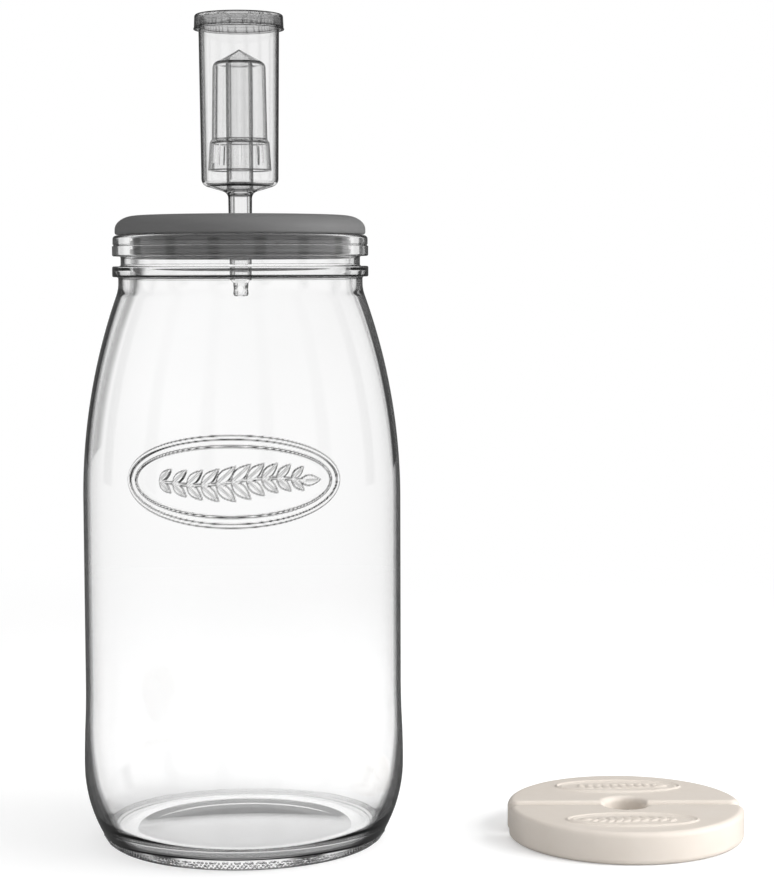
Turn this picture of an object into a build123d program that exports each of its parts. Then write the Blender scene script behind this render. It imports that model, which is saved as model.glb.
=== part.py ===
from build123d import *
import math
import os

# A wide-mouthed glass jar for fermenting, with a silicone lid, a water airlock and two ceramic
# half-disc weights. Millimetres, +Z up. The origin is on the jar's axis, in the plane it stands on.
# The front of the jar faces -Y, and the weights lie on the same plane at its +X side.

# Clearances between pieces that come apart
stem_clearance = 0.1
soft_clearance = 0.3
seat_gap = 0.3

# Glass jar: the body and its base
body_radius = 69.0
body_wall = 3.0
heel_height = 33.8
heel_bulge = 0.9
bulge_top = 70.0
heel_step_in = 10.4
foot_edge_radius = 2.5
foot_ring_width = 12.5
foot_inner_edge_radius = 1.0
push_up = 3.0
base_thickness = 5.0
floor_corner_radius = 14.0
floor_rise = 2.0

# Glass jar: the shoulder, the neck and the beads of its finish
shoulder_start = 150.0
shoulder_rise = 90.8
neck_radius = 52.8
neck_wall = 4.2
neck_height = 5.4
neck_blend_reach = 2.85
bead_depth = 2.55
bead_height = 4.6
recess_step = 1.1
recess_height = 4.3
rim_depth = 3.6
rim_band_height = 4.4
rim_groove_depth = 0.55
groove_edge_share = 0.8
rim_groove_height = 0.6
rim_upper_step = 0.25
rim_upper_height = 3.9
rim_top_edge_radius = 1.6
mouth_wall = 3.7
mouth_blend_radius = 8.0
glass_edge_radius = 0.7
glass_root_radius = 0.8

# Silicone lid
flange_inset = 0.95
flange_thickness = 8.2
flange_side_height = 2.2
flange_corner_width = 9.0
flange_lower_edge_radius = 1.0
plug_depth = 9.8
plug_wall = 6.0
plug_edge_radius = 0.8
rib_depth = 1.2
rib_height = 1.8
rib_edge_radius = 0.6
rib_spacing = 3.6
boss_wall = 4.82
pocket_depth = 5.6
pocket_corner_radius = 1.5

# Airlock body: the stem
stem_show = 9.8
stem_reach = 8.8
stem_end_radius = 4.7
stem_taper = 0.48
stem_root_fillet = 3.0
stem_wall = 1.2
nub_shoulder_height = 2.2
nub_step_in = 1.4
nub_length = 5.5
nub_end_wall = 1.4
nub_end_fillet = 2.0
gas_hole_radius = 1.3

# Airlock body: the chamber and its riser
chamber_radius = 17.35
chamber_draft = 0.75
chamber_height = 71.1
chamber_wall = 1.3
chamber_cone_rise = 3.4
chamber_corner_radius = 3.6
chamber_bead_height = 1.2
chamber_bead_depth = 0.4
chamber_bead_drop = 2.0
riser_radius = 5.8
riser_wall = 1.2
riser_drop = 17.8
riser_foot_fillet = 1.0

# Airlock float
float_clearance = 1.6
float_foot_gap = 5.14
float_wall = 1.1
float_cone_height = 6.1
float_shoulder_fillet = 3.2
float_draft = 0.6
skirt_height = 12.0
skirt_draft = 0.8
skirt_step_depth = 0.9
skirt_step_height = 1.5
window_count = 8
window_width = 3.0
window_sill = 3.0
window_head = 0.8
float_travel_spare = 0.5

# Airlock dust cap
cap_height = 6.5
cap_side_wall = 1.2
cap_draft = 0.25
cap_lip_flare = 0.4
cap_lip_height = 0.9
cap_top_wall = 1.4
cap_edge_radius = 1.1
vent_count = 6
vent_radius = 0.8
vent_circle_radius = 9.0

# Ceramic weights
weight_radius = 51.8
weight_thickness = 14.0
weight_hole_radius = 8.9
weight_corner_radius = 5.0
weight_hole_corner_radius = 2.0
weight_edge_radius = 2.6
weight_gap = 4.0
weight_place = 47.2

# Radii that follow from the sizes above
heel_radius = body_radius + heel_bulge
foot_radius = heel_radius - heel_step_in
inner_neck = neck_radius - neck_wall
bead_radius = neck_radius + bead_depth
recess_radius = neck_radius - recess_step
rim_radius = recess_radius + rim_depth
rim_groove_radius = rim_radius - rim_groove_depth
rim_upper_radius = rim_radius - rim_upper_step
mouth_radius = recess_radius - mouth_wall
flange_radius = rim_upper_radius - flange_inset
rib_radius = mouth_radius - soft_clearance
plug_radius = rib_radius - rib_depth
stem_root_radius = stem_end_radius + stem_taper
boss_radius = stem_root_radius + boss_wall
nub_radius = stem_end_radius - nub_step_in
chamber_foot_radius = chamber_radius - chamber_draft
skirt_foot_radius = chamber_foot_radius - chamber_wall - float_clearance
skirt_top_radius = skirt_foot_radius - skirt_draft
float_waist_radius = skirt_top_radius - skirt_step_depth
float_shoulder_radius = float_waist_radius - float_draft
cap_inner_radius = chamber_radius + chamber_bead_depth + soft_clearance
cap_side_radius = cap_inner_radius + cap_side_wall
weight_centre_x = body_radius + weight_place + weight_radius

# Heights that follow from the sizes above
shoulder_top = shoulder_start + shoulder_rise
bead_bottom = shoulder_top + neck_height
recess_bottom = bead_bottom + bead_height
rim_bottom = recess_bottom + recess_height
rim_groove_bottom = rim_bottom + rim_band_height
rim_upper_bottom = rim_groove_bottom + rim_groove_height
jar_top = rim_upper_bottom + rim_upper_height
lid_bottom = jar_top + seat_gap
lid_top = lid_bottom + flange_thickness
plug_bottom = lid_bottom - plug_depth
stem_root = lid_top + stem_show
stem_end = plug_bottom - stem_reach
nub_top = stem_end - nub_shoulder_height
nub_bottom = nub_top - nub_length
chamber_corner = stem_root + chamber_cone_rise
chamber_top = chamber_corner + chamber_height
chamber_slope = chamber_cone_rise / (chamber_foot_radius - stem_root_radius)
floor_at_riser = stem_root + chamber_wall + (riser_radius - stem_root_radius) * chamber_slope
floor_at_wall = chamber_corner + chamber_wall - chamber_wall * chamber_slope
riser_top = chamber_top - riser_drop
float_cone_slope = float_cone_height / float_shoulder_radius
float_wall_down = float_wall * math.hypot(float_cone_slope, 1.0)
float_apex = riser_top + seat_gap + riser_radius * float_cone_slope + float_wall_down
float_bottom = floor_at_wall + float_foot_gap
cap_underside = chamber_top + seat_gap
cap_top = cap_underside + cap_top_wall
float_travel = cap_underside - float_apex - float_travel_spare


def run(*points):
    """Straight edges from point to point."""
    return Polyline(*points).edges()


def rounded(face, corners):
    """The face with the corner nearest each point rounded to the radius given with it."""
    for point, radius in corners:
        face = fillet(face.vertices().sort_by_distance((*point, 0))[0], radius)
    return face


def turned(edges, corners):
    """The solid turned about the Z axis from edges that close an outline of radius and height,
    with corners of the outline rounded first."""
    return revolve(Plane.XZ * rounded(make_face(edges), corners), Axis.Z)


def on_line(start, end, height):
    """The radius at a height on the straight line between two points of radius and height."""
    share = (height - start[1]) / (end[1] - start[1])
    return start[0] + share * (end[0] - start[0])


def body_side(inset, foot, shoulder_end):
    """The outline of the body's side, set in from its outside: a heel arc that ends at foot, a
    slight bulge over it, the straight body, and the shoulder's arc to its end."""
    bulge = (heel_radius - inset, heel_height)
    middle = ((heel_radius + body_radius) / 2 - inset, (heel_height + bulge_top) / 2)
    straight = [(body_radius - inset, z) for z in (bulge_top, shoulder_start)]
    return [
        TangentArc(bulge, foot, tangent=(0, -1)).edge(),
        TangentArc(bulge, middle, tangent=(0, 1)).edge(),
        TangentArc(straight[0], middle, tangent=(0, -1)).edge(),
        *run(*straight),
        TangentArc(straight[1], shoulder_end, tangent=(0, 1)).edge(),
    ]


def glass_jar():
    """The jar: a base with a hollow under it, a body that bulges slightly over its heel, one long
    arc for the shoulder, and a finish of a transfer bead, a recess and a rim of two bands."""
    heel_arc = (heel_height**2 + heel_step_in**2) / (2 * heel_step_in)
    ring_inner = foot_radius - foot_ring_width
    floor_edge_radius = (
        heel_radius - heel_arc + math.sqrt((heel_arc - body_wall) ** 2 - (heel_height - base_thickness) ** 2)
    )
    groove_edge = rim_groove_depth * groove_edge_share
    upper_edge = (rim_groove_depth - rim_upper_step) * groove_edge_share
    neck_blend = neck_blend_reach * shoulder_rise / (body_radius - neck_radius)
    inner_neck_blend = neck_blend_reach * shoulder_rise / (body_radius - body_wall - inner_neck)

    outside = [
        ThreePointArc((-ring_inner, 0), (0, push_up), (ring_inner, 0)).edge().trim(0.5, 1.0),
        *run((ring_inner, 0), (foot_radius, 0)),
        *body_side(0, (foot_radius, 0), (neck_radius, shoulder_top)),
    ]
    finish = run(
        (neck_radius, shoulder_top),
        (neck_radius, bead_bottom),
        (bead_radius, bead_bottom),
        (bead_radius, recess_bottom),
        (recess_radius, recess_bottom),
        (recess_radius, rim_bottom),
        (rim_radius, rim_bottom),
        (rim_radius, rim_groove_bottom),
        (rim_groove_radius, rim_groove_bottom),
        (rim_groove_radius, rim_upper_bottom),
        (rim_upper_radius, rim_upper_bottom),
        (rim_upper_radius, jar_top),
        (mouth_radius, jar_top),
        (mouth_radius, recess_bottom),
        (inner_neck, bead_bottom),
        (inner_neck, shoulder_top),
    )
    inside = [
        *body_side(body_wall, (floor_edge_radius, base_thickness), (inner_neck, shoulder_top)),
        TangentArc(
            (0, base_thickness + floor_rise), (floor_edge_radius, base_thickness), tangent=(1, 0)
        ).edge(),
        *run((0, base_thickness + floor_rise), (0, push_up)),
    ]
    corners = [
        ((ring_inner, 0), foot_inner_edge_radius),
        ((foot_radius, 0), foot_edge_radius),
        ((neck_radius, shoulder_top), neck_blend),
        ((neck_radius, bead_bottom), glass_root_radius),
        ((bead_radius, bead_bottom), glass_edge_radius),
        ((bead_radius, recess_bottom), glass_edge_radius),
        ((recess_radius, recess_bottom), glass_root_radius),
        ((recess_radius, rim_bottom), glass_root_radius),
        ((rim_radius, rim_bottom), glass_edge_radius),
        ((rim_radius, rim_groove_bottom), groove_edge),
        ((rim_upper_radius, rim_upper_bottom), upper_edge),
        ((rim_upper_radius, jar_top), rim_top_edge_radius),
        ((mouth_radius, jar_top), glass_edge_radius),
        ((mouth_radius, recess_bottom), mouth_blend_radius),
        ((inner_neck, bead_bottom), mouth_blend_radius),
        ((inner_neck, shoulder_top), inner_neck_blend),
        ((floor_edge_radius, base_thickness), floor_corner_radius),
    ]
    return turned([*outside, *finish, *inside], corners)


def silicone_lid():
    """The push-in lid: a soft-edged flange on the rim, a plug with two sealing ribs, a pocket
    under it, and a boss in the middle whose hole tapers with the airlock's stem."""
    side_top = lid_bottom + flange_side_height
    plug_inner = plug_radius - plug_wall
    pocket_top = plug_bottom + pocket_depth
    rib_bottoms = [plug_bottom + (rib_spacing - rib_height), plug_bottom + 2 * rib_spacing - rib_height]
    ribs = []
    for low in rib_bottoms:
        high = low + rib_height
        ribs += [(plug_radius, low), (rib_radius, low), (rib_radius, high), (plug_radius, high)]
    stem_line = (stem_root_radius, stem_root), (stem_end_radius, stem_end)
    hole = [(on_line(*stem_line, z) + stem_clearance, z) for z in (lid_top, plug_bottom)]
    corner = EllipticalCenterArc(
        (flange_radius - flange_corner_width, side_top),
        flange_corner_width,
        flange_thickness - flange_side_height,
        arc_size=90,
    ).edge()
    edges = [
        *run(hole[0], hole[1], (boss_radius, plug_bottom), (boss_radius, pocket_top)),
        *run((boss_radius, pocket_top), (plug_inner, pocket_top), (plug_inner, plug_bottom)),
        *run((plug_inner, plug_bottom), (plug_radius, plug_bottom), *ribs, (plug_radius, lid_bottom)),
        *run((plug_radius, lid_bottom), (flange_radius, lid_bottom), (flange_radius, side_top)),
        corner,
        *run((flange_radius - flange_corner_width, lid_top), hole[0]),
    ]
    corners = [
        ((boss_radius, pocket_top), pocket_corner_radius),
        ((plug_inner, pocket_top), pocket_corner_radius),
        ((plug_radius, plug_bottom), plug_edge_radius),
        ((plug_inner, plug_bottom), plug_edge_radius),
        ((boss_radius, plug_bottom), plug_edge_radius),
        ((flange_radius, lid_bottom), flange_lower_edge_radius),
    ]
    corners += [((rib_radius, z), rib_edge_radius) for low in rib_bottoms for z in (low, low + rib_height)]
    return turned(edges, corners)


def airlock_body():
    """The clear moulding: a chamber for water with a riser tube in it, on a stem that passes
    through the lid and ends in a closed nub with cross holes for the gas."""
    chamber_inner = chamber_radius - chamber_wall
    foot_inner = chamber_foot_radius - chamber_wall
    bead_top = chamber_top - chamber_bead_drop
    bead_low = bead_top - chamber_bead_height
    side = (chamber_foot_radius, chamber_corner), (chamber_radius, chamber_top)
    bead_out = chamber_radius + chamber_bead_depth
    riser_bore = riser_radius - riser_wall
    stem_bore = stem_end_radius - stem_wall
    nub_bore = nub_radius - stem_wall
    points = [
        (0, nub_bottom + nub_end_wall),
        (nub_bore, nub_bottom + nub_end_wall),
        (nub_bore, nub_top),
        (stem_bore, stem_end),
        (stem_bore, stem_root),
        (riser_bore, floor_at_riser + riser_wall),
        (riser_bore, riser_top),
        (riser_radius, riser_top),
        (riser_radius, floor_at_riser),
        (foot_inner, floor_at_wall),
        (chamber_inner, chamber_top),
        (chamber_radius, chamber_top),
        (on_line(*side, bead_top), bead_top),
        (bead_out, bead_top),
        (bead_out, bead_low),
        (on_line(*side, bead_low), bead_low),
        (chamber_foot_radius, chamber_corner),
        (stem_root_radius, stem_root),
        (stem_end_radius, stem_end),
        (nub_radius, nub_top),
        (nub_radius, nub_bottom),
        (0, nub_bottom),
        (0, nub_bottom + nub_end_wall),
    ]
    corners = [
        ((chamber_foot_radius, chamber_corner), chamber_corner_radius),
        ((foot_inner, floor_at_wall), chamber_corner_radius - chamber_wall),
        ((stem_root_radius, stem_root), stem_root_fillet),
        ((riser_radius, floor_at_riser), riser_foot_fillet),
        ((nub_radius, nub_bottom), nub_end_fillet),
        ((bead_out, bead_top), chamber_bead_depth / 2),
        ((bead_out, bead_low), chamber_bead_depth / 2),
    ]
    body = turned(run(*points), corners)
    hole_height = (nub_top + nub_bottom + nub_end_wall) / 2
    for turn in (0, 90):
        hole = Cylinder(gas_hole_radius, 3 * nub_radius, rotation=(90, 0, turn))
        body -= Pos(0, 0, hole_height) * hole
    return body


def airlock_float():
    """The bell over the riser: a cone-topped cup with a stepped skirt that has a ring of windows."""
    skirt_top = float_bottom + skirt_height
    step_top = skirt_top + skirt_step_height
    shoulder = float_apex - float_cone_height
    outside = [
        (0, float_apex),
        (float_shoulder_radius, shoulder),
        (float_waist_radius, step_top),
        (skirt_top_radius, skirt_top),
        (skirt_foot_radius, float_bottom),
    ]
    inside = [
        (skirt_foot_radius - float_wall, float_bottom),
        (skirt_top_radius - float_wall, skirt_top - float_wall / 2),
        (float_waist_radius - float_wall, step_top - float_wall / 2),
        (float_shoulder_radius - float_wall, shoulder - float_wall_down + float_wall * float_cone_slope),
        (0, float_apex - float_wall_down),
    ]
    corners = [
        ((float_shoulder_radius, shoulder), float_shoulder_fillet),
        (inside[3], float_shoulder_fillet / 2),
    ]
    bell = turned(run(*outside, *inside, outside[0]), corners)
    window_height = skirt_height - window_sill - window_head
    window = Box(2 * skirt_foot_radius, window_width, window_height, align=(Align.MIN, Align.CENTER, Align.MIN))
    for i in range(window_count):
        turn = 360 * i / window_count
        bell -= Rot(0, 0, turn) * Pos(0, 0, float_bottom + window_sill) * window
    return bell


def airlock_cap():
    """The dust cap: a shallow cup with a lip at its foot and a ring of vent holes in its top."""
    cap_bottom = cap_top - cap_height
    cap_top_radius = cap_side_radius - cap_draft
    lip_top = cap_bottom + cap_lip_height
    points = [
        (0, cap_top),
        (cap_top_radius, cap_top),
        (cap_side_radius, lip_top),
        (cap_side_radius + cap_lip_flare, cap_bottom),
        (cap_inner_radius, cap_bottom),
        (cap_inner_radius, cap_underside),
        (0, cap_underside),
        (0, cap_top),
    ]
    corners = [((cap_top_radius, cap_top), cap_edge_radius)]
    cap = turned(run(*points), corners)
    vent = Cylinder(vent_radius, 3 * cap_top_wall)
    for place in PolarLocations(vent_circle_radius, vent_count):
        cap -= Pos(0, 0, cap_top - cap_top_wall / 2) * place * vent
    return cap


def weight_half():
    """One half-disc weight with its straight side on the X axis, reaching to +Y, and a half-round
    notch in the middle of that side. It stands on z = 0."""
    disc = Circle(weight_radius) - Circle(weight_hole_radius)
    half = disc & Rectangle(2 * weight_radius, weight_radius, align=(Align.CENTER, Align.MIN))
    half = rounded(half.face(), [((s * weight_radius, 0), weight_corner_radius) for s in (-1, 1)])
    half = rounded(half, [((s * weight_hole_radius, 0), weight_hole_corner_radius) for s in (-1, 1)])
    slab = extrude(half, weight_thickness)
    rims = slab.faces().sort_by(Axis.Z)[0].edges() + slab.faces().sort_by(Axis.Z)[-1].edges()
    return fillet(rims, weight_edge_radius)


def placed_weights():
    """The two halves flat on the surface beside the jar, their straight sides facing each other."""
    half = weight_half()
    rear = Pos(weight_centre_x, weight_gap / 2, 0) * half
    front = Pos(weight_centre_x, -weight_gap / 2, 0) * Rot(0, 0, 180) * half
    return {"weight_rear": rear, "weight_front": front}


pieces = {
    "glass_jar": glass_jar(),
    "silicone_lid": silicone_lid(),
    "airlock_body": airlock_body(),
    "airlock_float": airlock_float(),
    "airlock_cap": airlock_cap(),
    **placed_weights(),
}

os.makedirs("parts", exist_ok=True)
for name, piece in pieces.items():
    export_step(piece, f"parts/{name}.step")

print(f"float travel {float_travel:.2f} mm, cap top {cap_top:.2f} mm, nub bottom {nub_bottom:.2f} mm")
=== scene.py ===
import math

import bmesh
import bpy
import numpy as np
from bpy.props import FloatProperty, FloatVectorProperty, IntProperty, PointerProperty
from mathutils import Matrix, Vector
from mathutils.geometry import delaunay_2d_cdt


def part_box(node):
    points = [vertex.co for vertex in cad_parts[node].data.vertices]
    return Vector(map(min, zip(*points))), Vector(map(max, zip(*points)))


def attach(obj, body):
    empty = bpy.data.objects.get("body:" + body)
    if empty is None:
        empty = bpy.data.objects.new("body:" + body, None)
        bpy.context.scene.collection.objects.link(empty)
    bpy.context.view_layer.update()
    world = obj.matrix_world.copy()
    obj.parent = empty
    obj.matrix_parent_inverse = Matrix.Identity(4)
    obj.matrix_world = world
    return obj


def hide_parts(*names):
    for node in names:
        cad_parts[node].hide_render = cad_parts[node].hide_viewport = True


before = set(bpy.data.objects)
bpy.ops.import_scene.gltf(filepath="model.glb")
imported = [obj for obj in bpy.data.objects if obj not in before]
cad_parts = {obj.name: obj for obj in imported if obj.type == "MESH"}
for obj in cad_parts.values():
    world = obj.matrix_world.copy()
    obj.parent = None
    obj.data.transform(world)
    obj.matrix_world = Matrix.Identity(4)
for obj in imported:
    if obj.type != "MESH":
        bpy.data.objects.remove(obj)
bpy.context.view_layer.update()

bl_info = {
    "name": "Fermentation jar with airlock",
    "version": (1, 0, 0),
    "blender": (4, 5, 0),
    "location": "3D View > Sidebar > Jar",
    "description": "Dresses a fermentation jar, its silicone lid, its airlock and its weights",
    "category": "Add Mesh",
}

MM = 0.001
FRONT = -math.pi / 2
# The mesh attribute that says where near-black shade is painted along edges.
PAINTED_SHADE_ATTRIBUTE = "painted_edge_shade"

# A rounding's longest step, as a turn and as a run, and where a long run gets its end points.
ARC_STEP, ARC_RUN, SHARP_TURN = math.radians(11), 1.0 * MM, math.radians(4)
RUN_END = 0.5 * MM
LONG_RUN = 2.5 * RUN_END
# How steps grow, how many fine columns a thinned one spans, and the sides of each turned piece.
STEP_GROWTH, THINNING, BACK_STEP = 1.25, 4, math.radians(3.0)
LID_SIDES, AIRLOCK_SIDES, FLOOR_SIDES, DRILL_SIDES = 192, 128, 96, 24


def linear(text):
    """The linear colour, with alpha 1, of an sRGB hex value such as E2DAD0."""
    shares = [int(text[i : i + 2], 16) / 255 for i in (0, 2, 4)]
    return (*[s / 12.92 if s <= 0.04045 else ((s + 0.055) / 1.055) ** 2.4 for s in shares], 1.0)


def size(description, millimetres):
    """A length that the panel shows, in metres."""
    value = millimetres * MM
    kind = {"min": 0.0, "unit": "LENGTH", "subtype": "DISTANCE"}
    return FloatProperty(description=description, default=value, **kind)


def count(description, default):
    """A whole number that the panel shows."""
    return IntProperty(description=description, default=default, min=1)


def colour(description, text):
    """A colour that the panel shows, from its sRGB hex value."""
    kind = {"size": 4, "min": 0.0, "max": 1.0, "subtype": "COLOR"}
    return FloatVectorProperty(description=description, default=linear(text), **kind)


def named(group):
    """A property group whose properties are named after their attributes."""
    for key, prop in group.__annotations__.items():
        prop.keywords["name"] = key.replace("_", " ").capitalize()
    return group


def half_width(node):
    """Half a CAD node's width along X, in millimetres."""
    low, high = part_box(node)
    return (high[0] - low[0]) / 2 / MM


def height(node, end):
    """The height of a CAD node's lowest (0) or highest (1) point, in millimetres."""
    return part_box(node)[end][2] / MM


@named
class JarSizes(bpy.types.PropertyGroup):
    """The glass jar."""

    heel_radius: size("Outside radius of the slight bulge over the heel", half_width("glass_jar"))
    heel_bulge: size("How far the bulge stands out from the straight body", 0.9)
    heel_height: size("Where the heel's arc meets the bulge", 33.8)
    heel_step: size("How far the foot stands in from the bulge", 10.4)
    bulge_top: size("Where the bulge has faded into the straight body", 70.0)
    wall: size("Thickness of the body's wall", 3.0)
    top: size("Height of the rim's top", height("glass_jar", 1))
    foot_edge: size("Rounding of the foot's outer edge", 2.5)
    ring_width: size("Width of the standing ring", 12.5)
    push_up: size("Rise of the hollow under the base", 3.0)
    base: size("Thickness of the base over the standing ring", 5.0)
    floor_corner: size("Rounding between the floor and the wall inside", 14.0)
    floor_rise: size("Rise of the floor's middle inside", 2.0)
    shoulder_start: size("Where the shoulder's arc starts", 150.0)
    shoulder_rise: size("Height of the shoulder's arc", 90.8)
    neck_radius: size("Radius of the neck under the bead", 52.8)
    neck_inner: size("Inside radius of the neck under the bead", 48.6)
    neck_height: size("Height of the neck under the bead", 5.4)
    neck_blend: size("How far the rounding runs up the neck", 2.85)
    bead_radius: size("Radius of the transfer bead", 55.35)
    bead_height: size("Height of the transfer bead", 4.6)
    recess_radius: size("Radius between the bead and the rim", 51.7)
    recess_height: size("Height between the bead and the rim", 4.3)
    rim_radius: size("Radius of the rim's lower band", 55.3)
    rim_band: size("Height of the rim's lower band", 4.4)
    groove_radius: size("Radius of the groove between the rim's bands", 54.75)
    groove_height: size("Height of the groove between the rim's bands", 0.6)
    rim_upper_radius: size("Radius of the rim's upper band", 55.05)
    mouth_radius: size("Inside radius of the mouth", 48.0)
    mouth_blend: size("Rounding where the mouth widens into the neck", 8.0)
    edge: size("Rounding of the bands and beads", 0.7)
    root: size("Rounding in the corners beside the bands and beads", 0.8)
    top_edge: size("Rounding of the rim's outer top edge", 1.6)
    emblem_height: size("Height of the raised oval's middle", 163.4)
    emblem_relief: size("How far the raised oval stands out", 0.8)
    stipple_size: size("Radius of one knurl under the heel", 0.55)
    stipple_count: count("Knurls in one row round the heel", 220)


@named
class LidSizes(bpy.types.PropertyGroup):
    """The silicone lid."""

    flange_radius: size("Outside radius of the flange", half_width("silicone_lid"))
    top: size("Height of the lid's top", height("silicone_lid", 1))
    bottom: size("Height of the plug's lower edge", height("silicone_lid", 0))
    flange: size("Thickness of the flange", 8.2)
    corner_width: size("Width of the flange's rounded edge", 9.0)
    corner_height: size("Height of the flange's rounded edge", 6.0)
    lower_edge: size("Rounding under the flange", 1.0)
    plug_radius: size("Radius of the plug between its ribs", 46.5)
    plug_wall: size("Wall of the plug's ring", 6.0)
    rib_radius: size("Radius of the sealing ribs", 47.7)
    rib_height: size("Height of a sealing rib", 1.8)
    rib_spacing: size("From one sealing rib to the next", 3.6)
    rib_edge: size("Rounding of the ribs", 0.6)
    boss_radius: size("Radius of the boss round the stem", 10.0)
    pocket: size("Depth of the pocket under the lid", 5.6)
    pocket_corner: size("Rounding in the pocket", 1.5)
    hole_clearance: size("Gap between the stem and its hole", 0.1)
    colour: colour("Colour of the silicone", "6C6C6C")


@named
class AirlockSizes(bpy.types.PropertyGroup):
    """The airlock's body, float and dust cap."""

    nub_bottom: size("Height of the stem's closed tip", height("airlock_body", 0))
    chamber_top: size("Height of the chamber's rim", height("airlock_body", 1))
    chamber_radius: size("Outside radius of the chamber at its rim", 17.35)
    chamber_foot: size("Outside radius of the chamber at its foot", 16.6)
    chamber_wall: size("Wall of the chamber", 1.3)
    chamber_height: size("From the chamber's foot corner to its rim", 71.1)
    cone_rise: size("Height of the cone under the chamber", 3.4)
    chamber_corner: size("Rounding between the cone and the chamber", 3.6)
    bead_height: size("Height of the bead that holds the cap", 1.2)
    bead_depth: size("How far that bead stands out", 0.4)
    bead_drop: size("From the rim to that bead", 2.0)
    stem_root: size("Radius of the stem under the chamber", 5.18)
    stem_end: size("Radius of the stem's lower end", 4.7)
    stem_length: size("Length of the tapered stem", 36.6)
    stem_fillet: size("Rounding between the stem and the chamber", 3.0)
    stem_wall: size("Wall of the stem and the tip", 1.2)
    nub_shoulder: size("Height of the cone above the tip", 2.2)
    nub_radius: size("Radius of the closed tip", 3.3)
    nub_end: size("Rounding of the closed tip", 2.0)
    nub_end_wall: size("Wall under the bore at the tip", 1.4)
    gas_hole: size("Radius of the cross holes in the tip", 1.3)
    riser_radius: size("Outside radius of the riser tube", 5.8)
    riser_wall: size("Wall of the riser tube", 1.2)
    riser_height: size("From the stem's root to the riser's top", 56.7)
    moulded_edge: size("Rounding of the mouldings' thin edges", 0.25)
    float_top: size("Height of the float's tip", height("airlock_float", 1))
    float_bottom: size("Height of the float's lower edge", height("airlock_float", 0))
    float_wall: size("Wall of the float", 1.1)
    float_cone: size("Height of the float's cone", 6.1)
    float_shoulder: size("Radius of the float under its cone", 11.4)
    float_shoulder_edge: size("Rounding under the float's cone", 3.2)
    float_waist: size("Radius of the float over its skirt", 12.0)
    skirt_height: size("Height of the float's skirt", 12.0)
    skirt_step: size("Height of the step over the skirt", 1.5)
    skirt_top: size("Radius of the skirt's top", 12.9)
    skirt_foot: size("Radius of the skirt's foot", 13.7)
    window_count: count("Windows round the float's skirt", 8)
    window_width: size("Width of a window", 3.0)
    window_height: size("Height of a window", 8.2)
    window_sill: size("From the skirt's foot to a window", 3.0)
    cap_top: size("Height of the dust cap's top", height("airlock_cap", 1))
    cap_bottom: size("Height of the dust cap's lip", height("airlock_cap", 0))
    cap_lip: size("Outside radius of the dust cap's lip", half_width("airlock_cap"))
    cap_lip_height: size("Height of the flared lip", 0.9)
    cap_side: size("Radius of the dust cap over its lip", 19.25)
    cap_edge_radius: size("Radius of the dust cap's top", 19.0)
    cap_edge: size("Rounding of the dust cap's top", 1.1)
    cap_wall: size("Thickness of the dust cap's top", 1.4)
    cap_inner: size("Inside radius of the dust cap", 18.05)
    vent_count: count("Vent holes in the dust cap", 6)
    vent_radius: size("Radius of a vent hole", 0.8)
    vent_circle: size("Radius of the circle of vent holes", 9.0)


@named
class WeightSizes(bpy.types.PropertyGroup):
    """The two ceramic weights."""

    radius: size("Radius of the whole disc", 51.8)
    thickness: size("Thickness of a weight", height("weight_rear", 1))
    hole: size("Radius of the hole in the middle", 8.9)
    corner: size("Rounding at the ends of the straight side", 5.0)
    hole_corner: size("Rounding beside the hole", 2.0)
    edge: size("Rounding of the faces' edges", 2.6)
    gap: size("Gap between the two halves", 4.0)
    emblem_reach: size("From the straight side to the raised oval's middle", 28.5)
    emblem_relief: size("How far the raised oval stands out", 0.7)
    glaze: colour("Colour of the glaze", "E4DCD3")
    glaze_thin: colour("Colour where the glaze is thin", "D9CFC4")


@named
class StageSizes(bpy.types.PropertyGroup):
    """The camera, the lamps and the floor."""

    camera_side: size("Camera's place along X", 63.2)
    camera_distance: size("Camera's distance in front of the jar's axis", 956.9)
    camera_height: size("Camera's height over the floor", 248.95)
    floor_radius: size("Radius of the floor", 3000.0)
    background: colour("Colour of the floor and the background", "FFFFFF")


# Outlines of turned pieces, as points of radius and height.


def arc(centre, radius, start, end, steps):
    """Points on an arc about centre, from one angle to another in degrees, both ends included."""
    angles = np.radians(np.linspace(start, end, steps + 1))
    return [(centre[0] + radius * math.cos(a), centre[1] + radius * math.sin(a)) for a in angles]


def rounded(corners, closed=False):
    """The outline through corners of (radius, height) or (radius, height, rounding)."""
    number, points = len(corners), []
    for i, corner in enumerate(corners):
        here = Vector(corner[:2])
        if len(corner) == 2 or (not closed and i in (0, number - 1)):
            points.append(tuple(here))
            continue
        back = (Vector(corners[i - 1][:2]) - here).normalized()
        ahead = (Vector(corners[(i + 1) % number][:2]) - here).normalized()
        inside = back.angle(ahead)
        reach = corner[2] / math.tan(inside / 2)
        centre = here + (back + ahead).normalized() * (corner[2] / math.sin(inside / 2))
        first, last = here + back * reach - centre, here + ahead * reach - centre
        turn = math.pi - inside
        steps = max(2, math.ceil(turn / ARC_STEP), math.ceil(turn * corner[2] / ARC_RUN))
        for k in range(steps + 1):
            s = k / steps
            mix = first * math.sin((1 - s) * turn) + last * math.sin(s * turn)
            points.append(tuple(centre + mix / math.sin(turn)))
    return steadied(points, closed)


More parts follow.
